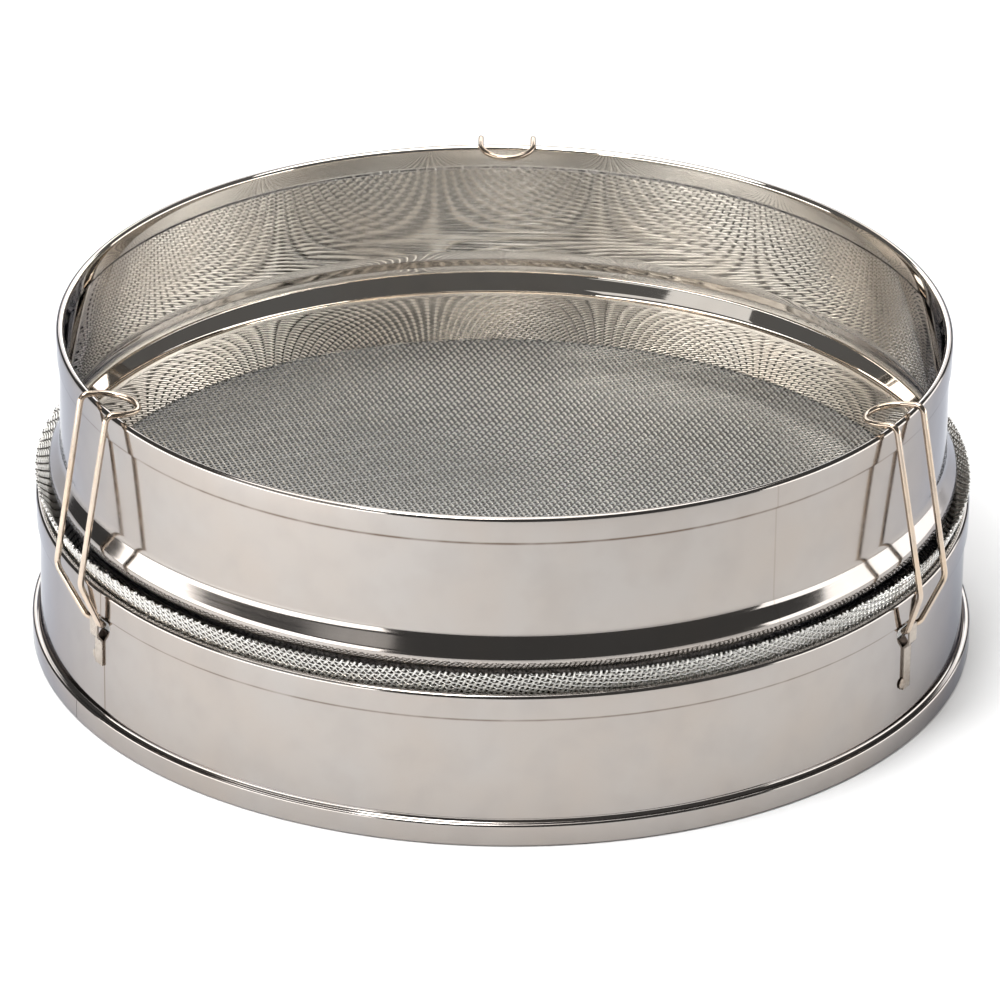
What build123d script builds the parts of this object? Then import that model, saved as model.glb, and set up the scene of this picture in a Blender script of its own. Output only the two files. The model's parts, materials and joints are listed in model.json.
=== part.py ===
from build123d import *
import os
import math

# Demountable drum sieve: upper hoop, lower hoop on a foot ring, woven screen clamped
# between them, three wire clips hooked in slots of the lower hoop.
# Millimetres. Z is up, the foot stands on Z zero, the front faces minus Y.

# Driving sizes of the sheet and wire
rim_radius = 150.1          # outside of the upper hem
total_height = 113.0        # foot to the top of the upper hem
lower_rim_top = 53.7        # foot to the top of the lower hem
gauge = 0.8                 # sheet of both hoops
wire_radius = 1.05          # clip wire
clear = 0.3                 # play between pieces that come apart
lap = 0.1                   # play between folded sheet and its neighbour
head_clear = 0.45           # play between clip wire and strap head

# Rolled hem that both hoops share
hem_height = 8.7            # height of the folded strip
hem_thick = 2.8             # across the hollow fold
hem_stand = 0.8             # how far the fold stands outside the wall
joggle_height = 1.4         # where the wall steps in behind the fold
joggle_bend = 1.0           # bend radius of that step

# Upper hoop, heights counted from the top of the lower hem
bead_stand = 3.9            # how far the bead stands outside the wall
shoulder_rise = 16.7        # top of the bead's sloping shoulder
band_top_rise = 10.7        # top of its upright band
band_bottom_rise = 8.1      # bottom of that band
return_rise = 2.7           # where the bead meets the wall again
bead_bend = 1.6
spigot_drop = 16.1          # bottom edge of the hoop

# Lower hoop
hoop_step = 6.6             # plain wall outside the upper rim
lower_hem_stand = 1.1
cove_bend = 1.9

# Foot ring
foot_reach = 3.0            # how far the ring stands outside the wall
foot_height = 8.0
foot_bend = 0.6
foot_lip = 2.8
foot_top_land = 1.4
foot_seam_angle = -61.6
foot_seam_width = 0.25

# Woven screen, drawn as a flat holed net with a plain flared side
screen_thick = 1.3
net_pitch = 24.0
net_bar = 1.3
net_margin = 1.6
net_turn = 19.9
screen_corner_gap = 1.2
screen_corner_bend = 1.2
screen_knee_set = 2.8       # knee inside the lower wall's outer face
screen_knee_drop = 0.5      # knee below the lower hem's top
screen_lip_reach = 0.7      # lip outside the lower wall's outer face
screen_lip_rise = 7.6       # lip above the lower hem's top

# Wire clips: where each finger loop sits and where its slot and strap are
clip_names = ["left", "right", "rear"]
clip_angles = [-60.3, 59.9, 180.0]
anchor_angles = [-57.2, 58.4, 180.0]
corner_stands = [3.3, 2.5, 1.5]         # bend outside the upper rim
clip_rises = [2.9, 2.9, 2.2]            # bend above the upper rim
loop_falls = [2.5, 2.5, 2.0]            # how far the loop's tip hangs below that bend
pivot_stand = 0.3           # wire middle outside the lower wall
pivot_drop = 12.3           # and below the lower hem's top
apex_half = 3.2
lead_reach = 2.7            # first bend outside the wall
lead_half = 4.2
lead_rise = 1.5             # above the pivot
elbow_reach = 6.9
elbow_half = 8.7
elbow_rise = 15.2
loop_half = 9.2
loop_reach = 14.9           # from the bend over the rim in to the loop's tip
apex_bend = 1.4
lead_bend = 3.0
elbow_bend = 5.0
corner_bend = 2.6

# Slots and straps that hold the clips, heights counted from the pivot
slot_half_width = 6.2
slot_height = 3.6
slot_drop = 0.2
slot_reach_share = 3.0      # cutter depth in sheet thicknesses
strap_width = 4.6
strap_drops = [15.4, 21.9, 18.9]        # lower ends of the three straps
strap_step_drop = 6.4
strap_head_drop = 4.2
strap_head_rise = 2.1
strap_bend = 1.2

# How many flats stand for each rounded bend, and for the round of the wire
sharp = 0
step_flat_count = 1
fold_flat_count = 1
clip_flat_count = 2
tip_flat_count = 4
wire_side_count = 8
fold_share = 0.999          # how much of the fold's half width its round top takes

half = gauge / 2
full_turn = 360.0


def unit(a, b):
    return (b - a).normalized()


def bent_path(points, bends, flats):
    """Corners of the run through the points, each bend drawn as that many flats."""
    pts = [Vector(*p) for p in points]
    path = [pts[0]]
    for i, (bend, count) in enumerate(zip(bends, flats), start=1):
        if count == sharp:
            path.append(pts[i])
            continue
        before = unit(pts[i - 1], pts[i])
        after = unit(pts[i], pts[i + 1])
        turn = math.radians(before.get_angle(after))
        enter = pts[i] - before * (bend * math.tan(turn / 2))
        axis = before.cross(after).normalized()
        inward = axis.cross(before)
        centre = enter + inward * bend
        for k in range(count + 1):
            swing = turn * k / count
            arm = inward * -math.cos(swing) + before * math.sin(swing)
            path.append(centre + arm * bend)
    path.append(pts[-1])
    return path


def side_step(points, bends, step):
    """The same run of corners moved sideways by step, with its bend radii."""
    moved = []
    radii = []
    count = len(points)
    for i in range(count):
        normals = []
        if i > 0:
            dx = points[i][0] - points[i - 1][0]
            dy = points[i][1] - points[i - 1][1]
            run = math.hypot(dx, dy)
            normals.append((-dy / run, dx / run))
        if i < count - 1:
            dx = points[i + 1][0] - points[i][0]
            dy = points[i + 1][1] - points[i][1]
            run = math.hypot(dx, dy)
            normals.append((-dy / run, dx / run))
        nx = sum(n[0] for n in normals)
        ny = sum(n[1] for n in normals)
        size = math.hypot(nx, ny)
        nx, ny = nx / size, ny / size
        stretch = step / (nx * normals[0][0] + ny * normals[0][1])
        moved.append((points[i][0] + nx * stretch, points[i][1] + ny * stretch))
        if len(normals) == 2:
            left = normals[0][0] * normals[1][1] - normals[0][1] * normals[1][0]
            radii.append(bends[i - 1] - step * math.copysign(1, left))
    return moved, radii


def plain(bends, flats, thick):
    """Bends tighter than the sheet is thick are drawn as plain corners."""
    return [sharp if bend < thick else count for bend, count in zip(bends, flats)]


def sheet_section(points, bends, flats, thick):
    """Cross-section of bent sheet of one thickness whose middle follows the points."""
    left, left_bends = side_step(points, bends, thick / 2)
    right, right_bends = side_step(points, bends, -thick / 2)
    go = bent_path([(r, 0, z) for r, z in left], left_bends, plain(left_bends, flats, thick))
    back = bent_path([(r, 0, z) for r, z in right], right_bends, plain(right_bends, flats, thick))
    return make_face(Polyline(*go, *reversed(back), close=True))


def ring(points, bends, flats, thick):
    return revolve(sheet_section(points, bends, flats, thick), Axis.Z, full_turn)


def around(shape, angle):
    """Turn a piece drawn towards plus X to its place, counted from the front."""
    return Rot(0, 0, angle - 90) * shape


def hem_points(wall_mid, top, stand):
    """Flap edge, over the fold and back to the wall, as middle-of-sheet corners."""
    outer = wall_mid + half + stand - half
    inner = wall_mid + half + stand - hem_thick + half
    roll = (outer - inner) / 2
    bottom = top - hem_height
    points = [
        (outer, bottom),
        (outer, top - half),
        (inner, top - half),
        (inner, bottom + joggle_height),
        (wall_mid, bottom - lap),
    ]
    bends = [roll * fold_share, roll * fold_share, joggle_bend, joggle_bend]
    flats = [fold_flat_count, fold_flat_count, sharp, sharp]
    return points, bends, flats


# Upper hoop: hem, wall, bead that presses the screen's side, spigot
upper_wall_mid = rim_radius - hem_stand - half
hem, hem_bends, hem_flats = hem_points(upper_wall_mid, total_height, hem_stand)
bead_mid = upper_wall_mid + bead_stand
spigot_bottom = lower_rim_top - spigot_drop
upper_points = hem + [
    (upper_wall_mid, lower_rim_top + shoulder_rise),
    (bead_mid, lower_rim_top + band_top_rise),
    (bead_mid, lower_rim_top + band_bottom_rise),
    (upper_wall_mid, lower_rim_top + return_rise),
    (upper_wall_mid, spigot_bottom),
]
small_bend = bead_bend / 2
upper_bends = hem_bends + [bead_bend, small_bend, small_bend, bead_bend]
upper_flats = hem_flats + [sharp] * len(upper_bends[len(hem_bends):])
upper_hoop = ring(upper_points, upper_bends, upper_flats, gauge)

# Lower hoop: hem, wall, cove and flange that the foot ring wraps
lower_wall_radius = rim_radius + hoop_step
lower_wall_mid = lower_wall_radius - half
hem, hem_bends, hem_flats = hem_points(lower_wall_mid, lower_rim_top, lower_hem_stand)
flange_mid_height = foot_height - gauge - half
foot_radius = lower_wall_radius + foot_reach
foot_inner_radius = foot_radius - gauge
lower_points = hem + [
    (lower_wall_mid, flange_mid_height),
    (foot_inner_radius - clear, flange_mid_height),
]
lower_bends = hem_bends + [cove_bend]
lower_hoop = ring(lower_points, lower_bends, hem_flats + [fold_flat_count], gauge)

pivot_radius = lower_wall_radius + pivot_stand
pivot_height = lower_rim_top - pivot_drop
slot_reach = gauge * slot_reach_share
slot_cut = Pos(lower_wall_mid, 0, pivot_height - slot_drop) * Box(
    slot_reach, slot_half_width * 2, slot_height
)
slot_cut = chamfer(slot_cut.edges().filter_by(Axis.X), slot_height / 3)
for angle in anchor_angles:
    lower_hoop -= around(slot_cut, angle)

# Foot ring: strip folded round the flange, ends butted at one side
foot_mid = foot_radius - half
foot_points = [
    (foot_radius - foot_top_land, foot_height - half),
    (foot_mid, foot_height - half),
    (foot_mid, half),
    (foot_radius - foot_lip, half),
]
foot_ring = ring(foot_points, [foot_bend] * 2, [step_flat_count] * 2, gauge)
foot_gap = Pos(foot_mid, 0, foot_height / 2) * Box(
    foot_lip * 2, foot_seam_width, foot_height
)
foot_ring -= around(foot_gap, foot_seam_angle)

# Woven screen: pressed dish with a flat net floor
screen_mid_height = spigot_bottom - clear - screen_thick / 2
screen_corner_radius = rim_radius - hem_stand + screen_corner_gap
net_radius = screen_corner_radius - screen_corner_bend - net_margin * 2
screen_points = [
    (net_radius, screen_mid_height),
    (screen_corner_radius, screen_mid_height),
    (lower_wall_radius - screen_knee_set, lower_rim_top - screen_knee_drop),
    (lower_wall_radius + screen_lip_reach, lower_rim_top + screen_lip_rise),
]
screen_bends = [screen_corner_bend, screen_corner_bend]
screen_side = ring(screen_points, screen_bends, [step_flat_count, sharp], screen_thick)
hole = net_pitch - net_bar
reach = math.ceil(net_radius / net_pitch)
centres = [
    (i * net_pitch, j * net_pitch)
    for i in range(-reach, reach)
    for j in range(-reach, reach)
    if math.hypot(i, j) * net_pitch < net_radius - hole / 2
]
holes = [Pos(x, y) * Rectangle(hole, hole) for x, y in centres]
net_face = Circle(net_radius) - holes
net = extrude(Rot(0, 0, net_turn) * net_face, screen_thick)
net = Pos(0, 0, screen_mid_height - screen_thick / 2) * net
woven_screen = screen_side + net


def spot(angle, radius, side, height):
    """Point at an angle round the drum, moved sideways along the rim."""
    turn = math.radians(angle - 90)
    x = radius * math.cos(turn) - side * math.sin(turn)
    y = radius * math.sin(turn) + side * math.cos(turn)
    return (x, y, height)


def wire_clip(angle, anchor, corner_stand, rise, loop_fall):
    """One length of wire: apex in the slot, two legs over the rims, finger loop."""
    corner_radius = rim_radius + corner_stand
    top = total_height + rise
    tip_radius = corner_radius - loop_reach
    tip_height = top - loop_fall
    elbow_radius = lower_wall_radius + elbow_reach
    start = spot(anchor, pivot_radius, 0, pivot_height)
    end = spot(angle, tip_radius, 0, tip_height)
    bends = [apex_bend, lead_bend, elbow_bend, corner_bend, loop_half]
    flats = [clip_flat_count] * len(bends[:-1]) + [tip_flat_count]
    halves = []
    for side in (-1, 1):
        legs = [
            start,
            spot(anchor, pivot_radius, side * apex_half, pivot_height),
            spot(anchor, lower_wall_radius + lead_reach, side * lead_half, pivot_height + lead_rise),
            spot(angle, elbow_radius, side * elbow_half, pivot_height + elbow_rise),
            spot(angle, corner_radius, side * loop_half, top),
            spot(angle, tip_radius, side * loop_half, tip_height),
            end,
        ]
        path = Polyline(*reversed(bent_path(legs, bends, flats)[:-1]))
        along = Vector(*spot(angle, 0, side, 0))
        across = Vector(*spot(angle, 1, 0, 0))
        outline = Plane(origin=end, x_dir=across, z_dir=along) * RegularPolygon(
            wire_radius, wire_side_count
        )
        halves.append(sweep(outline, path=path, transition=Transition.RIGHT))
    return halves[0] + halves[1]


# Straps: strip welded below each slot, standing off over the clip's wire
strap_low = lower_wall_radius + half
strap_high = pivot_radius + wire_radius + head_clear + half
strap_turn = math.degrees(strap_width / lower_wall_radius)


def anchor_strap(drop):
    """Joggled strip that reaches so far below the pivot."""
    points = [
        (strap_low, pivot_height - drop),
        (strap_low, pivot_height - strap_step_drop),
        (strap_high, pivot_height - strap_head_drop),
        (strap_high, pivot_height + strap_head_rise),
    ]
    section = sheet_section(points, [strap_bend] * 2, [step_flat_count] * 2, gauge)
    return Rot(0, 0, -strap_turn / 2) * revolve(section, Axis.Z, strap_turn)


nodes = {
    "upper_hoop": upper_hoop,
    "lower_hoop": lower_hoop,
    "foot_ring": foot_ring,
    "woven_screen": woven_screen,
}
for i, name in enumerate(clip_names):
    bends = corner_stands[i], clip_rises[i], loop_falls[i]
    clip = wire_clip(clip_angles[i], anchor_angles[i], *bends)
    nodes["clip_" + name] = clip
    nodes["anchor_strap_" + name] = around(anchor_strap(strap_drops[i]), anchor_angles[i])

# The rear clip reaches past the foot, so the drum's axis is set forward of the origin
# and the origin stays under the middle of the outline.
boxes = [shape.bounding_box() for shape in nodes.values()]
shift_x = (max(b.max.X for b in boxes) + min(b.min.X for b in boxes)) / 2
shift_y = (max(b.max.Y for b in boxes) + min(b.min.Y for b in boxes)) / 2

os.makedirs("parts", exist_ok=True)
for name, shape in nodes.items():
    placed = Pos(-shift_x, -shift_y, 0) * shape
    export_step(placed, "parts/" + name + ".step")
    print(name, placed.is_valid, len(placed.solids()), round(placed.volume))
print("holes", len(centres), "shift", shift_x, shift_y)
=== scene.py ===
"""Tamis drum sieve: hoops, foot ring, woven screen, wire clips and straps, with a studio stage."""

import json
import math

import bmesh
import bpy
from mathutils import Matrix, Vector

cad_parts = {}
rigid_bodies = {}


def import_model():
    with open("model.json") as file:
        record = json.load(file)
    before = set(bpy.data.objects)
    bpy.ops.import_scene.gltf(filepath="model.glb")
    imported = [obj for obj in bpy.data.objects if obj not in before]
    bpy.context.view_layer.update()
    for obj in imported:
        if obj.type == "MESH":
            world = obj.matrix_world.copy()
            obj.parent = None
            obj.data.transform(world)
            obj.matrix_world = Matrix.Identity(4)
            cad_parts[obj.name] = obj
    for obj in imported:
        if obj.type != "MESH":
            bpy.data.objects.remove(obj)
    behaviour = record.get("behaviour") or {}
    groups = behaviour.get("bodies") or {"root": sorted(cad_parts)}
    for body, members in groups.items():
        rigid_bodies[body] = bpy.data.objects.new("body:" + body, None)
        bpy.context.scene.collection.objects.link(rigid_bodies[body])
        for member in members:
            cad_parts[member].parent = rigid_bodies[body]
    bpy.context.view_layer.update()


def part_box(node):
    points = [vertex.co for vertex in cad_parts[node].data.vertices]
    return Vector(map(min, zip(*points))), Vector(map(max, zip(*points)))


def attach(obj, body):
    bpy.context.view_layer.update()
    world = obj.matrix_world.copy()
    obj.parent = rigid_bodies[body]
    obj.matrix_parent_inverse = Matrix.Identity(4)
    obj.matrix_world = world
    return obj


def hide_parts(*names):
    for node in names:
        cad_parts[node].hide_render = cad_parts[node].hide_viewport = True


bl_info = {
    "name": "Drum Sieve",
    "version": (1, 0, 0),
    "blender": (4, 5, 0),
    "location": "View3D > Sidebar > Drum Sieve",
    "description": "Builds a demountable drum sieve of polished steel with a woven wire screen",
    "category": "Object",
}

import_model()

# The drum's own axis stands in front of the origin, because the rear clip reaches past the foot.
FOOT_LOW, FOOT_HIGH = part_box("foot_ring")
AXIS = Vector((0.0, (FOOT_LOW[1] + FOOT_HIGH[1]) / 2, 0.0))

# Where each clip's loop and its slot stand, in degrees from the front, and its own bends:
# corner radius, top of the bend over the rim, height of the loop's tip, lower end of the strap.
CLIPS = {
    "left": (-60.3, -57.2, 0.1534, 0.1159, 0.1134, 0.0260),
    "right": (59.9, 58.4, 0.1526, 0.1159, 0.1134, 0.0195),
    "rear": (180.0, 180.0, 0.1516, 0.1152, 0.1132, 0.0225),
}

# Rolled hem: how far above the flap's edge its inner leaf turns in, how far below it that leaf
# meets the wall, and the radius of both bends.
HEM_TURNS_IN, HEM_MEETS_WALL, HEM_BEND = 0.0014, 0.0001, 0.0009

# Upper hoop: heights where the pressed bead leaves the wall, of its face, and where it ends,
# with the radii of those four bends.
BEAD_LEAVES, BEAD_TOP, BEAD_BOTTOM, BEAD_ENDS = 0.0704, 0.0644, 0.0618, 0.0564
BEAD_BENDS = (0.006, 0.004, 0.003, 0.006)

# Seams, in degrees from the front, with how dark the hoops' show and how wide the foot's gapes.
UPPER_SEAM, UPPER_SEAM_DEPTH = 36.0, 0.22
LOWER_SEAM, LOWER_SEAM_DEPTH = -56.3, 0.75
FOOT_SEAM, FOOT_SEAM_GAP = -61.6, 0.00025

# Heights of the painted shade just under the two rolled hems.
UPPER_HEM_SHADE, LOWER_HEM_SHADE = 0.1040, 0.0447

# Slots under the lower hem: depth through the wall, width and height, then middle and rounding.
SLOT_SIZE = (0.0024, 0.0124, 0.0036)
SLOT_HEIGHT, SLOT_ROUNDING = 0.0412, 0.0014

# Foot ring: radius where its upper leaf starts, how far its lower leaf runs in, and its folds.
FOOT_UPPER_LEAF, FOOT_LOWER_LEAF, FOOT_FOLD = 0.1583, 0.0028, 0.0006

# Lower hoop's flange: the room left inside the foot ring, and the cove above it.
FLANGE_CLEARANCE, COVE_RADIUS = 0.0003, 0.0019

# Screen: the set of wires that runs front to back on the floor lies higher than the other by
# twice this share of the wire, so that its lines show.
SET_RISE = 0.15

# Screen's dish: how far inside the corner pressing starts, and the bends of floor and flare.
PRESS_LEAD, SCREEN_FOLD, FLARE_RADIUS = 0.004, 0.0012, 0.012

# Heights between which the painted shade on the screen's floor fades out towards its brighter
# side, and the straps' heat marks fade upward from the welds.
FLOOR_SHADE_FADE, STRAP_HEAT = (0.038, 0.042), (0.024, 0.030)

# Clips: half spacing of the legs at pivot, first bend and elbow, then the radii of the bends.
PIVOT_HALF, LEAD_HALF, ELBOW_HALF = 0.0032, 0.0042, 0.0087
PIVOT_BEND, LEAD_BEND, ELBOW_BEND, RIM_BEND = 0.0014, 0.003, 0.005, 0.0026

# Share of the half width that a full round bend takes, so that its two ends don't meet, and
# the radius from which a wire's bend gets more segments.
FULL_BEND, WIDE_BEND = 0.99, 0.008

# Straps: heights where the strip leaves the wall and where its head begins, its bends, the
# rounding of its edges, and the wire's room behind the head.
STRAP_LEAVES, STRAP_HEAD, STRAP_BEND = 0.035, 0.0372, 0.0012
STRAP_EDGE, WIRE_ROOM = 0.00015, 0.00045

# Weld spots: half depth, width and height, then how far they sit beside the strap's middle and
# above its lower end.
WELD_SIZE, WELD_ASIDE, WELD_ABOVE = (0.00045, 0.0017, 0.0019), -0.0026, 0.0025

# Angle, in degrees, below which wires and weld spots are shaded smooth.
WIRE_SMOOTH = 80.0

# Stretch of the sheet's grain, round the drum per radian and up it per metre.
GRAIN_ROUND, GRAIN_UP = 1.6, 900.0

# Lamps: place, width and height, power, and the point that each one faces.
LAMPS = {
    "left_box": ((-0.60, -0.32, 0.17), (1.0, 0.22), 3.0, (0.0, 0.0, 0.12)),
    "left_fill": ((-0.85, -0.71, 0.82), (1.0, 0.35), 0.8, (0.0, 0.0, 0.06)),
    "right_box": ((0.74, 0.06, 0.17), (1.0, 0.24), 2.4, (0.0, 0.0, 0.12)),
    "back_box": ((0.0, 1.15, 0.62), (1.5, 0.4), 4.6, (0.0, 0.0, 0.05)),
    "front_pool": ((-0.24, -0.44, 1.05), (0.4, 0.4), 7.5, (-0.2, -0.35, 0.0)),
    "top_box": ((-0.08, 0.12, 1.25), (1.3, 1.1), 15.5, (0.0, 0.05, 0.0)),
}
WORLD_STRENGTH = 0.10

# Floor: half its width, and the distances from the drum at which it starts to glow and glows white.
FLOOR_HALF, GLOW_STARTS, GLOW_WHITE = 6.0, 0.7, 1.9

# Camera, fitted to the photograph: distance, height of its target, lens, angles in degrees.
CAMERA_DISTANCE, CAMERA_TARGET, CAMERA_LENS = 2.4, 0.1114, 257.9
CAMERA_RISE, CAMERA_TILT, CAMERA_YAW, CAMERA_ROLL = 24.71, 1.40, 0.02, 0.735


def length(name, description, default):
    """A size in metres for a property group."""
    return bpy.props.FloatProperty(
        name=name, description=description, default=default, unit="LENGTH", precision=5
    )


def colour(name, description, default):
    """A colour for a property group."""
    return bpy.props.FloatVectorProperty(
        name=name, description=description, default=default, subtype="COLOR", size=3, min=0, max=1
    )


class SieveSheetSizes(bpy.types.PropertyGroup):
    """Sizes of the two hoops and the foot ring"""

    gauge: length("Gauge", "Thickness of the sheet", 0.0008)
    fold_height: length("Fold height", "Height of the rolled hem", 0.0087)
    fold_thick: length("Fold thickness", "Across the hollow of the rolled hem", 0.0028)
    upper_radius: length("Upper wall", "Outside radius of the upper hoop's wall", 0.1493)
    upper_top: length("Upper top", "Height of the upper rim", 0.113)
    upper_stand: length("Upper hem stand", "How far the upper hem stands proud", 0.0008)
    bead_stand: length("Bead stand", "How far the pressed bead stands proud", 0.0039)
    spigot_bottom: length("Spigot bottom", "Lower edge of the upper hoop", 0.0376)
    lower_radius: length("Lower wall", "Outside radius of the lower hoop's wall", 0.1567)
    lower_top: length("Lower top", "Height of the lower rim", 0.0537)
    lower_stand: length("Lower hem stand", "How far the lower hem stands proud", 0.0011)
    foot_radius: length("Foot radius", "Outside radius of the foot ring", 0.1597)
    foot_height: length("Foot height", "Height of the foot ring", 0.008)
    steps: bpy.props.IntProperty(
        name="Steps", description="Facets round each hoop", default=288, min=48, max=720
    )


class SieveScreenSizes(bpy.types.PropertyGroup):
    """Sizes of the woven screen"""

    pitch: length("Pitch", "Distance between neighbouring wires", 0.0019)
    wire: length("Wire", "Diameter of the screen's wire", 0.0008)
    crimp: bpy.props.FloatProperty(
        name="Crimp", description="How far a wire swings up and down, in wire diameters",
        default=0.26, min=0.1, max=0.6,
    )
    turn: bpy.props.FloatProperty(
        name="Turn", description="Angle of the weave on the floor", default=math.radians(19.3),
        subtype="ANGLE",
    )
    floor_height: length("Floor", "Middle of the weave's floor", 0.03665)
    corner_radius: length("Corner", "Radius where the floor turns up", 0.1505)
    knee_radius: length("Knee", "Radius where the side passes the lower rim", 0.1539)
    knee_height: length("Knee height", "Height where the side passes the lower rim", 0.0532)
    lip_radius: length("Lip", "Radius of the side's upper edge", 0.1574)
    lip_height: length("Lip height", "Height of the side's upper edge", 0.0613)


class SieveClipSizes(bpy.types.PropertyGroup):
    """Sizes of the wire clips and their straps"""

    wire: length("Wire", "Diameter of the clip's wire", 0.0021)
    half_width: length("Half width", "Half the spacing of the clip's legs", 0.0092)
    loop_reach: length("Loop reach", "From the bend over the rim in to the loop's tip", 0.0149)
    elbow_radius: length("Elbow", "Radius of the elbow", 0.1636)
    elbow_height: length("Elbow height", "Height of the elbow", 0.0566)
    lead_radius: length("Lead", "Radius of the first bend outside the wall", 0.1594)
    lead_height: length("Lead height", "Height of the first bend", 0.0429)
    pivot_radius: length("Pivot", "Radius of the wire behind the strap", 0.157)
    pivot_height: length("Pivot height", "Height of the wire behind the strap", 0.0414)
    strap_width: length("Strap width", "Width of the anchor strap", 0.0046)
    strap_top: length("Strap top", "Upper end of the strap", 0.0435)


class SieveColours(bpy.types.PropertyGroup):
    """Colours of the metals and the floor"""

    sheet: colour("Sheet", "Brushed outside of the sheet", (0.37, 0.345, 0.325))
    # The inside is over twice as pale as the outside: painted light on the inner walls. Its polish
    # is in the roughness.
    inside: colour("Inside", "Polished inside of the sheet", (0.82, 0.775, 0.715))
    screen: colour("Screen", "Woven wire", (0.84, 0.825, 0.79))
    clip: colour("Clip", "Spring wire", (0.56, 0.47, 0.39))
    strap: colour("Strap", "Strap steel", (0.42, 0.37, 0.32))
    floor: colour("Floor", "Studio floor", (0.96, 0.96, 0.96))


# Shared helpers


def collection_link(obj):
    bpy.context.scene.collection.objects.link(obj)
    return obj


def object_from(name, bm):
    """A shown object whose mesh is the finished bmesh."""
    mesh = bpy.data.meshes.new(name)
    bm.to_mesh(mesh)
    bm.free()
    return collection_link(bpy.data.objects.new(name, mesh))


def settle(obj):
    """Applies the object's modifiers, or a curve's bevel, to plain mesh."""
    graph = bpy.context.evaluated_depsgraph_get()
    mesh = bpy.data.meshes.new_from_object(obj.evaluated_get(graph))
    name = obj.name
    bpy.data.objects.remove(obj)
    mesh.name = name
    return collection_link(bpy.data.objects.new(name, mesh))


def smooth(obj, angle=35.0):
    mesh = obj.data
    for polygon in mesh.polygons:
        polygon.use_smooth = True
    mesh.set_sharp_from_angle(angle=math.radians(angle))


def dress(obj, body, node, material):
    """Gives a finished piece its finish and its body, and hides the CAD node that it stands for."""
    obj.data.materials.clear()
    obj.data.materials.append(material)
    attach(obj, body)
    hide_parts(node)


def rounded_run(corners, bends, segments=5):
    """A bmesh of one open run of edges through (radius, height) corners with rounded bends."""
    bm = bmesh.new()
    verts = [bm.verts.new((r, 0.0, z)) for r, z in corners]
    for a, b in zip(verts, verts[1:]):
        bm.edges.new((a, b))
    for vert, bend in zip(verts[1:-1], bends):
        arms = [edge.other_vert(vert).co - vert.co for edge in vert.link_edges]
        turn = math.pi - arms[0].angle(arms[1])
        bmesh.ops.bevel(
            bm, geom=[vert], offset=bend * math.tan(turn / 2), offset_type="OFFSET",
            segments=segments, profile=0.5, affect="VERTICES", material=-1, clamp_overlap=False,
        )
    return bm


def spun(bm, steps, start=0.0, sweep=math.tau):
    """Spins the run in bm round the drum's axis, from an angle counted from the front."""
    turn = Matrix.Rotation(start - math.pi / 2, 4, "Z")
    bmesh.ops.transform(bm, matrix=turn, verts=bm.verts)
    bmesh.ops.translate(bm, vec=AXIS, verts=bm.verts)
    whole = sweep >= math.tau
    bmesh.ops.spin(
        bm, geom=bm.verts[:] + bm.edges[:], cent=AXIS, axis=(0, 0, 1), angle=sweep,
        steps=steps, use_merge=whole, use_duplicate=False,
    )
    bmesh.ops.remove_doubles(bm, verts=bm.verts, dist=1e-6)
    bmesh.ops.recalc_face_normals(bm, faces=bm.faces)
    return bm


def sheet_piece(name, bm, gauge):
    """Thickens a spun skin to sheet of the given gauge, half to each side."""
    obj = object_from(name, bm)
    wall = obj.modifiers.new("gauge", "SOLIDIFY")
    wall.thickness = gauge
    wall.offset = 0.0
    wall.use_even_offset = True
    wall.use_rim = True
    return settle(obj)


def folded_hem(wall, top, stand, sizes):
    """Corners and bends of the rolled hem, flap edge first, down to the plain wall."""
    half = sizes.gauge / 2
    outer = wall + stand
    inner = wall + half + stand - sizes.fold_thick + half
    bottom = top - sizes.fold_height
    corners = [
        (outer, bottom), (outer, top - half), (inner, top - half),
        (inner, bottom + HEM_TURNS_IN), (wall, bottom - HEM_MEETS_WALL),
    ]
    roll = (outer - inner) / 2 * FULL_BEND
    return corners, [roll, roll, HEM_BEND, HEM_BEND]


def around(angle):
    """Matrix that takes a piece drawn towards plus X to its angle, counted from the front."""
    return Matrix.Translation(AXIS) @ Matrix.Rotation(math.radians(angle - 90), 4, "Z")


# Finishes


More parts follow.
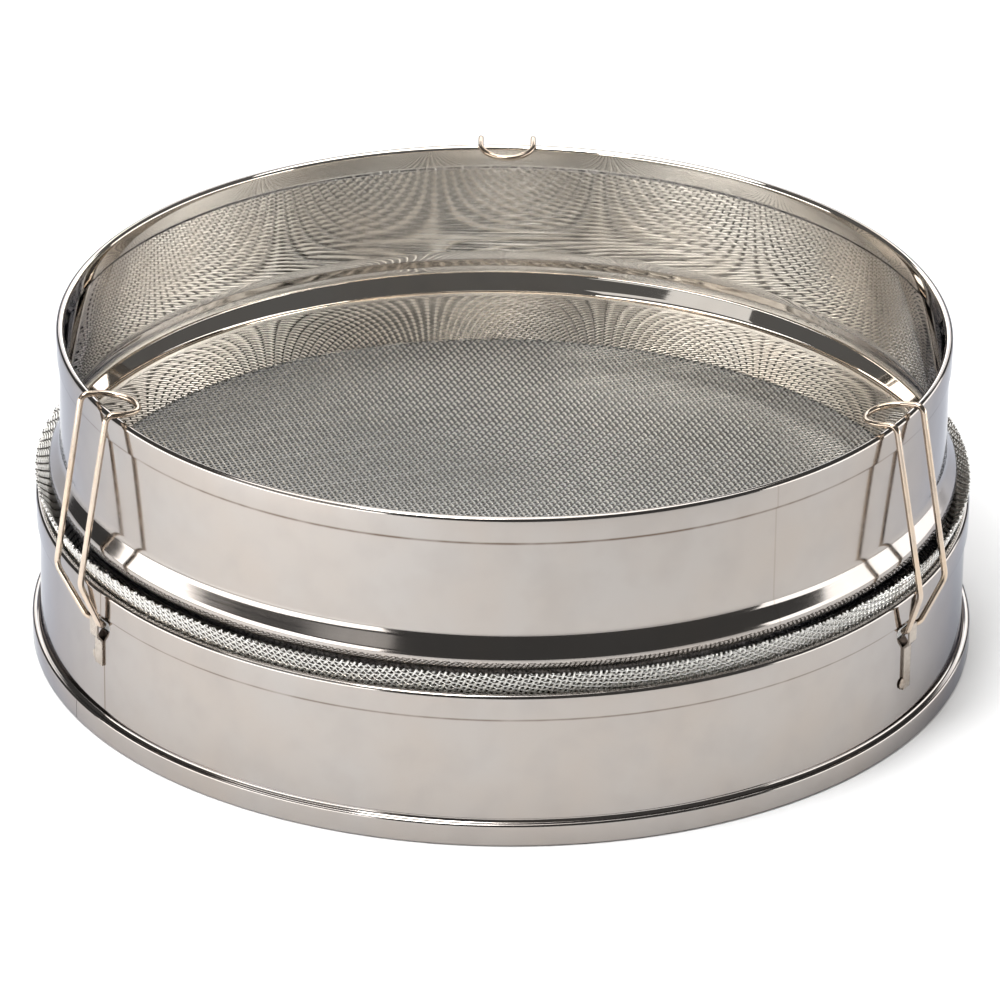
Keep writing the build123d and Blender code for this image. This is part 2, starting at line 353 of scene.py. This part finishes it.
class Nodes:
    """Short names for wiring a material's nodes."""

    def __init__(self, name):
        self.material = bpy.data.materials.new(name)
        self.material.use_nodes = True
        self.tree = self.material.node_tree
        self.shader = self.tree.nodes["Principled BSDF"]
        self.shader.inputs["Metallic"].default_value = 1.0

    def add(self, kind, **values):
        node = self.tree.nodes.new(kind)
        for key, value in values.items():
            setattr(node, key, value)
        return node

    def link(self, out, into):
        self.tree.links.new(out, into)

    def maths(self, operation, first, second=None):
        node = self.add("ShaderNodeMath", operation=operation)
        for slot, value in zip(node.inputs, (first, second)):
            if value is None:
                continue
            if isinstance(value, (int, float)):
                slot.default_value = value
            else:
                self.link(value, slot)
        return node.outputs[0]

    def noise(self, vector, scale, detail=2.0, rough=0.5):
        node = self.add("ShaderNodeTexNoise")
        node.inputs["Scale"].default_value = scale
        node.inputs["Detail"].default_value = detail
        node.inputs["Roughness"].default_value = rough
        self.link(vector, node.inputs["Vector"])
        return node.outputs["Fac"]

    def spread(self, value, low_in, high_in, low, high):
        node = self.add("ShaderNodeMapRange")
        numbers = {"From Min": low_in, "From Max": high_in, "To Min": low, "To Max": high}
        for key, number in numbers.items():
            node.inputs[key].default_value = number
        self.link(value, node.inputs["Value"])
        return node.outputs[0]

    def mix(self, factor, first, second, blend="MIX"):
        node = self.add("ShaderNodeMix", data_type="RGBA", blend_type=blend)
        for place, value in ((0, factor), (6, first), (7, second)):
            slot = node.inputs[place]
            if isinstance(value, (int, float)):
                slot.default_value = value
            elif isinstance(value, tuple):
                slot.default_value = (*value, 1.0)
            else:
                self.link(value, slot)
        return node.outputs[2]

    def position(self):
        """The piece's own coordinates, centred on the drum's axis."""
        where = self.add("ShaderNodeTexCoord").outputs["Object"]
        centred = self.add("ShaderNodeMapping")
        centred.inputs["Location"].default_value = (-AXIS.x, -AXIS.y, 0.0)
        self.link(where, centred.inputs["Vector"])
        return centred.outputs["Vector"]

    def drum_position(self, point, along, radial, up):
        """Coordinates round the drum, counted from the back, outward and up, each stretched."""
        split = self.add("ShaderNodeSeparateXYZ")
        self.link(point, split.inputs[0])
        x, y, z = split.outputs
        angle = self.maths("ARCTAN2", x, y)
        flat = self.add("ShaderNodeVectorMath", operation="LENGTH")
        level = self.add("ShaderNodeCombineXYZ")
        self.link(x, level.inputs[0])
        self.link(y, level.inputs[1])
        self.link(level.outputs[0], flat.inputs[0])
        round_drum = self.maths("MULTIPLY", angle, along)
        height = self.maths("MULTIPLY", z, up)
        joined = self.add("ShaderNodeCombineXYZ")
        self.link(round_drum, joined.inputs[0])
        self.link(self.maths("MULTIPLY", flat.outputs["Value"], radial), joined.inputs[1])
        self.link(height, joined.inputs[2])
        return joined.outputs[0], round_drum, height

    def facing_in(self, point):
        """One where the surface faces the drum's axis, nought where it faces outward."""
        flat = self.add("ShaderNodeVectorMath", operation="MULTIPLY")
        self.link(point, flat.inputs[0])
        flat.inputs[1].default_value = (1.0, 1.0, 0.0)
        dot = self.add("ShaderNodeVectorMath", operation="DOT_PRODUCT")
        self.link(flat.outputs[0], dot.inputs[0])
        self.link(self.add("ShaderNodeTexCoord").outputs["Normal"], dot.inputs[1])
        return self.spread(dot.outputs["Value"], -0.02, 0.02, 1.0, 0.0)

    def bump(self, height, strength, distance):
        node = self.add("ShaderNodeBump")
        node.inputs["Strength"].default_value = strength
        node.inputs["Distance"].default_value = distance
        self.link(height, node.inputs["Height"])
        self.link(node.outputs[0], self.shader.inputs["Normal"])


def sheet_finish(name, colours, hem_shade_height=None, seam=None, seam_depth=0.0):
    """Sheet brushed outside and polished inside, the inside painted much paler as painted light on
    the inner walls: fine rolling grain, soft smears, blotches.

    Painted shade sits on the outside just below a fold, at its own height; the seam is where the
    strip's ends are welded, in degrees from the front. At grazing angles the reflection is dimmed
    and bluish.
    """
    n = Nodes(name)
    point = n.position()
    grain_at, angle, height = n.drum_position(point, GRAIN_ROUND, GRAIN_UP, GRAIN_UP)
    grain = n.noise(grain_at, 1.0, 3.0, 0.6)
    smear = n.noise(point, 26.0, 3.0, 0.55)
    blotch = n.noise(point, 90.0, 2.0, 0.5)
    inward = n.facing_in(point)
    rough = n.spread(smear, 0.3, 0.7, 0.06, 0.13)
    rough = n.maths("ADD", rough, n.spread(grain, 0.35, 0.65, -0.01, 0.02))
    rough = n.maths("MULTIPLY", rough, n.spread(inward, 0.0, 1.0, 1.0, 0.35))
    n.link(rough, n.shader.inputs["Roughness"])
    n.shader.inputs["Specular Tint"].default_value = (0.56, 0.59, 0.66, 1.0)
    # Painted light: the inside takes a much paler colour than the outside.
    tint = n.mix(inward, tuple(colours.sheet), tuple(colours.inside))
    warm = n.mix(0.7, tint, (1.0, 0.95, 0.90), "MULTIPLY")
    base = n.mix(n.spread(smear, 0.35, 0.65, 0.0, 1.0), tint, warm)
    dark = n.mix(1.0, tint, (0.88, 0.87, 0.86), "MULTIPLY")
    base = n.mix(n.spread(blotch, 0.45, 0.75, 0.0, 0.5), base, dark)
    # Painted shade: a thin dark line on the outside, just under the hem's fold.
    if hem_shade_height is not None:
        away = n.maths("ABSOLUTE", n.maths("SUBTRACT", height, hem_shade_height * GRAIN_UP))
        hem_shade = n.spread(away, 0.22, 0.70, 0.95, 0.0)
        hem_shade = n.maths("MULTIPLY", hem_shade, n.spread(blotch, 0.30, 0.60, 0.45, 1.0))
        hem_shade = n.maths("MULTIPLY", hem_shade, n.maths("SUBTRACT", 1.0, inward))
        base = n.mix(hem_shade, base, (0.10, 0.065, 0.045))
    if seam is not None:
        turn = math.radians(seam)
        from_back = math.atan2(math.sin(turn), -math.cos(turn))
        away = n.maths("ABSOLUTE", n.maths("SUBTRACT", angle, GRAIN_ROUND * from_back))
        base = n.mix(n.spread(away, 0.0012, 0.0050, seam_depth, 0.0), base, (0.16, 0.11, 0.08))
    n.link(base, n.shader.inputs["Base Color"])
    wave = n.noise(point, 38.0, 1.0, 0.5)
    total = n.maths("ADD", n.maths("MULTIPLY", grain, 0.05), wave)
    n.bump(total, 0.06, 0.0004)
    return n.material


def wire_finish(name, tint, rough_low, rough_high, scale):
    """Drawn wire: colour and gloss that vary a little along and across it."""
    n = Nodes(name)
    point = n.position()
    broad = n.noise(point, 60.0, 2.0, 0.5)
    fine = n.noise(point, scale, 2.0, 0.6)
    n.link(n.spread(fine, 0.3, 0.7, rough_low, rough_high), n.shader.inputs["Roughness"])
    dark = tuple(c * 0.72 for c in tint)
    base = n.mix(n.spread(fine, 0.35, 0.7, 0.0, 0.5), tint, dark)
    warm = (min(tint[0] * 1.06, 1), tint[1], tint[2] * 0.90)
    base = n.mix(n.spread(broad, 0.4, 0.65, 0.0, 0.8), base, warm)
    n.link(base, n.shader.inputs["Base Color"])
    n.bump(fine, 0.15, 0.0001)
    return n.material


def weave_finish(name, tint, floor_painted_shade, flank_painted_shade, rough):
    """Screen wire: bright on the dish's side; on its floor it gets painted shade, darker the less
    its surface faces up.

    There the painted shade darkens it at least by the floor's share. Tuned until it looked like the
    photograph.
    """
    n = Nodes(name)
    point = n.position()
    fine = n.noise(point, 900.0, 2.0, 0.6)
    n.link(n.spread(fine, 0.3, 0.7, rough - 0.06, rough + 0.06), n.shader.inputs["Roughness"])
    base = n.mix(n.spread(fine, 0.35, 0.7, 0.0, 0.4), tint, tuple(c * 0.72 for c in tint))
    where = n.add("ShaderNodeSeparateXYZ")
    n.link(point, where.inputs[0])
    facing = n.add("ShaderNodeSeparateXYZ")
    n.link(n.add("ShaderNodeTexCoord").outputs["Normal"], facing.inputs[0])
    # Painted shade: darker on flanks that face away from the light above, and over the whole warp
    # on the floor.
    flank_shade = n.spread(facing.outputs[2], -0.10, 0.55, flank_painted_shade, 0.0)
    painted_shade = n.maths("MAXIMUM", flank_shade, floor_painted_shade)
    painted_shade = n.maths("MULTIPLY", painted_shade, n.spread(where.outputs[2], *FLOOR_SHADE_FADE, 1.0, 0.15))
    base = n.mix(painted_shade, base, tuple(c * 0.10 for c in tint))
    n.link(base, n.shader.inputs["Base Color"])
    n.bump(fine, 0.15, 0.0001)
    return n.material


def strap_finish(name, tint):
    """Satin strip, darkened by heat towards the welds at its lower end."""
    n = Nodes(name)
    point = n.position()
    split = n.add("ShaderNodeSeparateXYZ")
    n.link(point, split.inputs[0])
    heat = n.spread(split.outputs[2], *STRAP_HEAT, 1.0, 0.0)
    mottled = n.noise(point, 420.0, 3.0, 0.6)
    n.link(n.spread(mottled, 0.3, 0.7, 0.24, 0.42), n.shader.inputs["Roughness"])
    burnt = (tint[0] * 0.55, tint[1] * 0.47, tint[2] * 0.40)
    base = n.mix(n.spread(mottled, 0.35, 0.7, 0.0, 0.6), tint, tuple(c * 0.75 for c in tint))
    base = n.mix(n.maths("MULTIPLY", heat, mottled), base, burnt)
    n.link(base, n.shader.inputs["Base Color"])
    n.bump(mottled, 0.25, 0.0001)
    return n.material


# Pieces


class SieveMakeUpperHoop(bpy.types.Operator):
    """Builds the upper hoop: rolled hem, wall, pressed bead and spigot"""

    bl_idname = "sieve.make_upper_hoop"
    bl_label = "Upper Hoop"

    def execute(self, context):
        s = context.scene.sieve_sheet
        wall = s.upper_radius - s.gauge / 2
        bead = wall + s.bead_stand
        corners, bends = folded_hem(wall, s.upper_top, s.upper_stand, s)
        corners += [
            (wall, BEAD_LEAVES), (bead, BEAD_TOP), (bead, BEAD_BOTTOM), (wall, BEAD_ENDS),
            (wall, s.spigot_bottom),
        ]
        bends += BEAD_BENDS
        hoop = sheet_piece("upper_hoop_sheet", spun(rounded_run(corners, bends), s.steps), s.gauge)
        smooth(hoop)
        finish = sheet_finish(
            "upper_sheet", context.scene.sieve_colours, UPPER_HEM_SHADE, UPPER_SEAM, UPPER_SEAM_DEPTH
        )
        dress(hoop, "hoop", "upper_hoop", finish)
        return {"FINISHED"}


class SieveMakeLowerHoop(bpy.types.Operator):
    """Builds the lower hoop: rolled hem, slotted wall, cove and flange"""

    bl_idname = "sieve.make_lower_hoop"
    bl_label = "Lower Hoop"

    def execute(self, context):
        s = context.scene.sieve_sheet
        wall = s.lower_radius - s.gauge / 2
        flange = s.foot_height - s.gauge * 1.5
        corners, bends = folded_hem(wall, s.lower_top, s.lower_stand, s)
        corners += [(wall, flange), (s.foot_radius - s.gauge - FLANGE_CLEARANCE, flange)]
        bends += [COVE_RADIUS]
        hoop = sheet_piece("lower_hoop_sheet", spun(rounded_run(corners, bends), s.steps), s.gauge)
        for _, anchor, *_ in CLIPS.values():
            self.cut_slot(hoop, wall, anchor)
        hoop = settle(hoop)
        for cutter in [o for o in bpy.data.objects if o.name.startswith("slot_cutter")]:
            bpy.data.objects.remove(cutter)
        smooth(hoop)
        finish = sheet_finish(
            "lower_sheet", context.scene.sieve_colours, LOWER_HEM_SHADE, LOWER_SEAM, LOWER_SEAM_DEPTH
        )
        dress(hoop, "base", "lower_hoop", finish)
        return {"FINISHED"}

    def cut_slot(self, hoop, wall, angle):
        """Marks one rounded slot for a clip's wire, which is cut when the hoop is settled."""
        bm = bmesh.new()
        bmesh.ops.create_cube(bm, size=1.0)
        bmesh.ops.scale(bm, vec=SLOT_SIZE, verts=bm.verts)
        ends = [e for e in bm.edges if abs(e.verts[0].co.x - e.verts[1].co.x) > 0.001]
        bmesh.ops.bevel(
            bm, geom=ends, offset=SLOT_ROUNDING, offset_type="OFFSET", segments=4, profile=0.5,
            affect="EDGES", material=-1,
        )
        bmesh.ops.translate(bm, vec=(wall, 0, SLOT_HEIGHT), verts=bm.verts)
        bmesh.ops.transform(bm, matrix=around(angle), verts=bm.verts)
        cutter = object_from("slot_cutter", bm)
        cut = hoop.modifiers.new("slot", "BOOLEAN")
        cut.object = cutter
        cut.operation = "DIFFERENCE"
        cut.solver = "EXACT"


class SieveMakeFootRing(bpy.types.Operator):
    """Builds the foot ring folded round the lower hoop's flange"""

    bl_idname = "sieve.make_foot_ring"
    bl_label = "Foot Ring"

    def execute(self, context):
        s = context.scene.sieve_sheet
        half = s.gauge / 2
        mid = s.foot_radius - half
        corners = [
            (FOOT_UPPER_LEAF, s.foot_height - half), (mid, s.foot_height - half), (mid, half),
            (s.foot_radius - FOOT_LOWER_LEAF, half),
        ]
        gap = FOOT_SEAM_GAP / s.foot_radius
        bm = spun(
            rounded_run(corners, [FOOT_FOLD, FOOT_FOLD]), s.steps,
            start=math.radians(FOOT_SEAM) + gap / 2, sweep=math.tau - gap,
        )
        ring = sheet_piece("foot_ring_strip", bm, s.gauge)
        smooth(ring)
        dress(ring, "base", "foot_ring", sheet_finish("foot_sheet", context.scene.sieve_colours))
        return {"FINISHED"}


class SieveMakeScreen(bpy.types.Operator):
    """Lays the screen's two sets of wires and presses the disc to a dish with a flared side"""

    bl_idname = "sieve.make_screen"
    bl_label = "Woven Screen"

    def execute(self, context):
        s = context.scene.sieve_screen
        tint = tuple(context.scene.sieve_colours.screen)
        # The warp is painted darker than the weft on the floor, as painted shade; both sets get
        # painted shade on their flanks.
        finishes = {
            "warp": weave_finish(
                "screen_warp", tint, floor_painted_shade=0.80, flank_painted_shade=0.92, rough=0.18
            ),
            "weft": weave_finish(
                "screen_weft", tint, floor_painted_shade=0.0, flank_painted_shade=0.15, rough=0.46
            ),
        }
        press = Press(s)
        rows = int(press.reach / s.pitch)
        halves = {"warp_low": [], "warp_high": [], "weft_low": [], "weft_high": []}
        for row in range(-rows, rows + 1):
            part = "low" if row < 0 else "high"
            halves["warp_" + part].append(self.wire(press, s, row, 0))
            halves["weft_" + part].append(self.wire(press, s, row, 1))
        for part, runs in halves.items():
            curve = bpy.data.curves.new("weave_" + part, "CURVE")
            curve.dimensions = "3D"
            curve.bevel_depth = s.wire / 2
            curve.bevel_resolution = 1
            curve.use_fill_caps = True
            for run in runs:
                spline = curve.splines.new("POLY")
                spline.points.add(len(run) - 1)
                for point, place in zip(spline.points, run):
                    point.co = (*place, 1.0)
            piece = settle(collection_link(bpy.data.objects.new("weave_" + part, curve)))
            smooth(piece, WIRE_SMOOTH)
            dress(piece, "screen", "woven_screen", finishes[part.split("_")[0]])
        return {"FINISHED"}

    def wire(self, press, s, row, across):
        """Places along one wire, over and under its neighbours in turn.

        The crimp and the rise leave less than a wire's thickness between the middles of two
        crossing wires, so the wires run into each other: it looks woven and isn't a true weave.
        """
        offset = row * s.pitch
        half = math.sqrt(max(press.reach**2 - offset**2, 0.0))
        count = int(half / s.pitch)
        lift = s.wire * s.crimp
        rise = s.wire * (SET_RISE if across else -SET_RISE)
        run = []
        for step in range(-count - 1, count + 2):
            over = 1 if (row + step + across) % 2 else -1
            along = max(min(step * s.pitch, half), -half)
            flat = (along, offset) if across == 0 else (offset, along)
            run.append(press.place(flat, lift * over + rise))
        return run


class Press:
    """The tool that turns a flat woven disc to a dish: a floor, a corner and a flared side."""

    def __init__(self, s):
        self.turn = s.turn
        self.floor = s.floor_height
        bm = rounded_run(
            [
                (s.corner_radius - PRESS_LEAD, s.floor_height), (s.corner_radius, s.floor_height),
                (s.knee_radius, s.knee_height), (s.lip_radius, s.lip_height),
            ],
            [SCREEN_FOLD, FLARE_RADIUS], 4,
        )
        bm.verts.ensure_lookup_table()
        ends = [v for v in bm.verts if len(v.link_edges) == 1]
        vert = min(ends, key=lambda v: v.co.z)
        self.line = [vert.co.copy()]
        edge = None
        while True:
            onward = [e for e in vert.link_edges if e is not edge]
            if not onward:
                break
            edge = onward[0]
            vert = edge.other_vert(vert)
            self.line.append(vert.co.copy())
        bm.free()
        self.flat = self.line[0].x
        self.marks = [self.flat]
        for a, b in zip(self.line, self.line[1:]):
            self.marks.append(self.marks[-1] + (b - a).length)
        self.reach = self.marks[-1]

    def place(self, flat, lift):
        """Where a point of the flat disc lands, lifted off the middle of the weave."""
        x = flat[0] * math.cos(self.turn) - flat[1] * math.sin(self.turn)
        y = flat[0] * math.sin(self.turn) + flat[1] * math.cos(self.turn)
        radius = math.hypot(x, y)
        if radius <= self.flat:
            return Vector((x, y, self.floor + lift)) + AXIS
        radius = min(radius, self.reach - 1e-6)
        k = max(i for i, mark in enumerate(self.marks[:-1]) if mark <= radius)
        share = (radius - self.marks[k]) / (self.marks[k + 1] - self.marks[k])
        spot = self.line[k].lerp(self.line[k + 1], share)
        along = (self.line[k + 1] - self.line[k]).normalized()
        spot += Vector((-along.z, 0, along.x)) * lift
        ratio = spot.x / math.hypot(x, y)
        return Vector((x * ratio, y * ratio, spot.z)) + AXIS


class SieveMakeClips(bpy.types.Operator):
    """Bends the three wire clips with their finger loops"""

    bl_idname = "sieve.make_clips"
    bl_label = "Wire Clips"

    def execute(self, context):
        s = context.scene.sieve_clip
        tint = tuple(context.scene.sieve_colours.clip)
        finish = wire_finish("clip_wire", tint, rough_low=0.12, rough_high=0.24, scale=260.0)
        for name, (angle, anchor, corner, top, tip_height, _) in CLIPS.items():
            w = s.half_width
            tip = corner - s.loop_reach
            side = [
                (anchor, s.pivot_radius, PIVOT_HALF, s.pivot_height),
                (anchor, s.lead_radius, LEAD_HALF, s.lead_height),
                (angle, s.elbow_radius, ELBOW_HALF, s.elbow_height),
                (angle, corner, w, top),
                (angle, tip, w, tip_height),
            ]
            bends = [PIVOT_BEND, LEAD_BEND, ELBOW_BEND, RIM_BEND, w * FULL_BEND]
            corners = [around(turn) @ Vector((x, y, z)) for turn, x, y, z in side]
            corners += [around(turn) @ Vector((x, -y, z)) for turn, x, y, z in reversed(side)]
            bm = bmesh.new()
            verts = [bm.verts.new(c) for c in corners]
            for a, b in zip(verts, verts[1:] + verts[:1]):
                bm.edges.new((a, b))
            for vert, bend in zip(verts, bends + bends[::-1]):
                arms = [edge.other_vert(vert).co - vert.co for edge in vert.link_edges]
                turn = math.pi - arms[0].angle(arms[1])
                bmesh.ops.bevel(
                    bm, geom=[vert], offset=bend * math.tan(turn / 2), offset_type="OFFSET",
                    segments=12 if bend > WIDE_BEND else 6, profile=0.5, affect="VERTICES",
                    material=-1, clamp_overlap=False,
                )
            piece = self.tube("clip_wire_" + name, bm, s.wire / 2)
            smooth(piece, WIRE_SMOOTH)
            dress(piece, name, "clip_" + name, finish)
        return {"FINISHED"}

    def tube(self, name, bm, radius):
        """A round wire along the closed run of edges in bm."""
        vert = next(iter(bm.verts))
        edge = None
        order = []
        start = vert
        while True:
            order.append(vert.co.copy())
            edge = next(e for e in vert.link_edges if e is not edge)
            vert = edge.other_vert(vert)
            if vert is start:
                break
        bm.free()
        curve = bpy.data.curves.new(name, "CURVE")
        curve.dimensions = "3D"
        curve.bevel_depth = radius
        curve.bevel_resolution = 5
        spline = curve.splines.new("POLY")
        spline.points.add(len(order) - 1)
        for point, place in zip(spline.points, order):
            point.co = (*place, 1.0)
        spline.use_cyclic_u = True
        return settle(collection_link(bpy.data.objects.new(name, curve)))


class SieveMakeStraps(bpy.types.Operator):
    """Presses the three anchor straps that hold the clips' wires in their slots"""

    bl_idname = "sieve.make_straps"
    bl_label = "Anchor Straps"

    def execute(self, context):
        sheet = context.scene.sieve_sheet
        s = context.scene.sieve_clip
        finish = strap_finish("strap_strip", tuple(context.scene.sieve_colours.strap))
        half = sheet.gauge / 2
        low = sheet.lower_radius + half
        high = s.pivot_radius + s.wire / 2 + WIRE_ROOM + half
        sweep = s.strap_width / sheet.lower_radius
        for name, (_, anchor, _, _, _, bottom) in CLIPS.items():
            corners = [
                (low, bottom), (low, STRAP_LEAVES), (high, STRAP_HEAD), (high, s.strap_top),
            ]
            bm = spun(
                rounded_run(corners, [STRAP_BEND, STRAP_BEND], 4), 6,
                start=math.radians(anchor) - sweep / 2, sweep=sweep,
            )
            strap = sheet_piece("anchor_strip_" + name, bm, sheet.gauge)
            soften = strap.modifiers.new("edge", "BEVEL")
            soften.width = STRAP_EDGE
            soften.segments = 2
            soften.limit_method = "ANGLE"
            strap = settle(strap)
            smooth(strap)
            dress(strap, "base", "anchor_strap_" + name, finish)
            self.weld(name, low, bottom + WELD_ABOVE, anchor, finish)
        return {"FINISHED"}

    def weld(self, name, radius, height, anchor, finish):
        """A flattened weld spot beside the strap's lower end."""
        bm = bmesh.new()
        bmesh.ops.create_uvsphere(bm, u_segments=16, v_segments=8, radius=1.0)
        bmesh.ops.scale(bm, vec=WELD_SIZE, verts=bm.verts)
        bmesh.ops.translate(bm, vec=(radius, WELD_ASIDE, height), verts=bm.verts)
        bmesh.ops.transform(bm, matrix=around(anchor), verts=bm.verts)
        spot = object_from("weld_spot_" + name, bm)
        smooth(spot, WIRE_SMOOTH)
        dress(spot, "base", "anchor_strap_" + name, finish)


# Stage


class SieveMakeStage(bpy.types.Operator):
    """Sets the floor, the studio light and the camera"""

    bl_idname = "sieve.make_stage"
    bl_label = "Stage"

    def execute(self, context):
        scene = context.scene
        self.floor(tuple(scene.sieve_colours.floor))
        self.world(scene)
        for name, (place, size, power, aim) in LAMPS.items():
            self.lamp(name, place, size, power, aim)
        self.camera(scene)
        scene.view_settings.view_transform = "Standard"
        return {"FINISHED"}

    def floor(self, tint):
        """Pale paper under the lamps that glows white far from the drum, for every kind of ray."""
        bm = bmesh.new()
        bmesh.ops.create_grid(bm, x_segments=1, y_segments=1, size=FLOOR_HALF)
        floor = object_from("studio_floor", bm)
        n = Nodes("studio_paper")
        n.shader.inputs["Metallic"].default_value = 0.0
        n.shader.inputs["Roughness"].default_value = 0.9
        n.shader.inputs["Base Color"].default_value = (*tint, 1.0)
        flat = n.add("ShaderNodeVectorMath", operation="LENGTH")
        n.link(n.position(), flat.inputs[0])
        glow = n.spread(flat.outputs["Value"], GLOW_STARTS, GLOW_WHITE, 0.0, 1.0)
        n.link(glow, n.shader.inputs["Emission Strength"])
        n.shader.inputs["Emission Color"].default_value = (1.0, 1.0, 1.0, 1.0)
        floor.data.materials.append(n.material)

    def world(self, scene):
        """A dark studio for the lighting and the metal, shown white to the camera alone."""
        world = bpy.data.worlds.new("studio")
        scene.world = world
        world.use_nodes = True
        tree = world.node_tree
        back = tree.nodes["Background"]
        seen = tree.nodes.new("ShaderNodeBackground")
        seen.inputs["Color"].default_value = (1, 1, 1, 1)
        seen.inputs["Strength"].default_value = 1.0
        back.inputs["Color"].default_value = (1.0, 1.0, 1.0, 1.0)
        back.inputs["Strength"].default_value = WORLD_STRENGTH
        rays = tree.nodes.new("ShaderNodeLightPath")
        both = tree.nodes.new("ShaderNodeMixShader")
        tree.links.new(rays.outputs["Is Camera Ray"], both.inputs[0])
        tree.links.new(back.outputs[0], both.inputs[1])
        tree.links.new(seen.outputs[0], both.inputs[2])
        tree.links.new(both.outputs[0], tree.nodes["World Output"].inputs[0])

    def lamp(self, name, place, size, power, aim):
        """A soft box that faces a point and isn't seen by the camera itself."""
        data = bpy.data.lights.new(name, "AREA")
        data.shape = "RECTANGLE"
        data.size, data.size_y = size
        data.energy = power
        lamp = collection_link(bpy.data.objects.new(name, data))
        lamp.location = place
        look = Vector(aim) - Vector(place)
        lamp.rotation_euler = look.to_track_quat("-Z", "Y").to_euler()
        lamp.visible_camera = False

    def camera(self, scene):
        """A long lens from the front, a little above, as in the photograph."""
        data = bpy.data.cameras.new("camera")
        data.sensor_width = 36.0
        data.lens = CAMERA_LENS
        data.clip_start = 0.1
        data.clip_end = 50.0
        camera = collection_link(bpy.data.objects.new("camera", data))
        rise = math.radians(CAMERA_RISE)
        target = AXIS + Vector((0, 0, CAMERA_TARGET))
        away = Vector((0, -math.cos(rise), math.sin(rise)))
        camera.location = target + away * CAMERA_DISTANCE
        camera.rotation_mode = "ZYX"
        camera.rotation_euler = (
            math.radians(90 - CAMERA_RISE - CAMERA_TILT),
            math.radians(CAMERA_YAW), math.radians(CAMERA_ROLL),
        )
        scene.camera = camera


class SIEVE_PT_panel(bpy.types.Panel):
    """Lists the sieve's pieces and their sizes"""

    bl_label = "Drum Sieve"
    bl_idname = "SIEVE_PT_panel"
    bl_space_type = "VIEW_3D"
    bl_region_type = "UI"
    bl_category = "Drum Sieve"

    def draw(self, context):
        layout = self.layout
        for group in GROUPS:
            box = layout.box()
            box.label(text=group.__doc__)
            for key in group.__annotations__:
                box.prop(getattr(context.scene, GROUPS[group]), key)
        for operator in OPERATORS:
            layout.operator(operator.bl_idname)


GROUPS = {
    SieveSheetSizes: "sieve_sheet",
    SieveScreenSizes: "sieve_screen",
    SieveClipSizes: "sieve_clip",
    SieveColours: "sieve_colours",
}
OPERATORS = [
    SieveMakeUpperHoop,
    SieveMakeLowerHoop,
    SieveMakeFootRing,
    SieveMakeScreen,
    SieveMakeClips,
    SieveMakeStraps,
    SieveMakeStage,
]


def register():
    for group, name in GROUPS.items():
        bpy.utils.register_class(group)
        setattr(bpy.types.Scene, name, bpy.props.PointerProperty(type=group))
    for operator in OPERATORS:
        bpy.utils.register_class(operator)
    bpy.utils.register_class(SIEVE_PT_panel)


def unregister():
    bpy.utils.unregister_class(SIEVE_PT_panel)
    for operator in reversed(OPERATORS):
        bpy.utils.unregister_class(operator)
    for group, name in GROUPS.items():
        delattr(bpy.types.Scene, name)
        bpy.utils.unregister_class(group)


def main():
    register()
    bpy.ops.sieve.make_upper_hoop()
    bpy.ops.sieve.make_lower_hoop()
    bpy.ops.sieve.make_foot_ring()
    bpy.ops.sieve.make_screen()
    bpy.ops.sieve.make_clips()
    bpy.ops.sieve.make_straps()
    bpy.ops.sieve.make_stage()


if __name__ == "__main__":
    main()
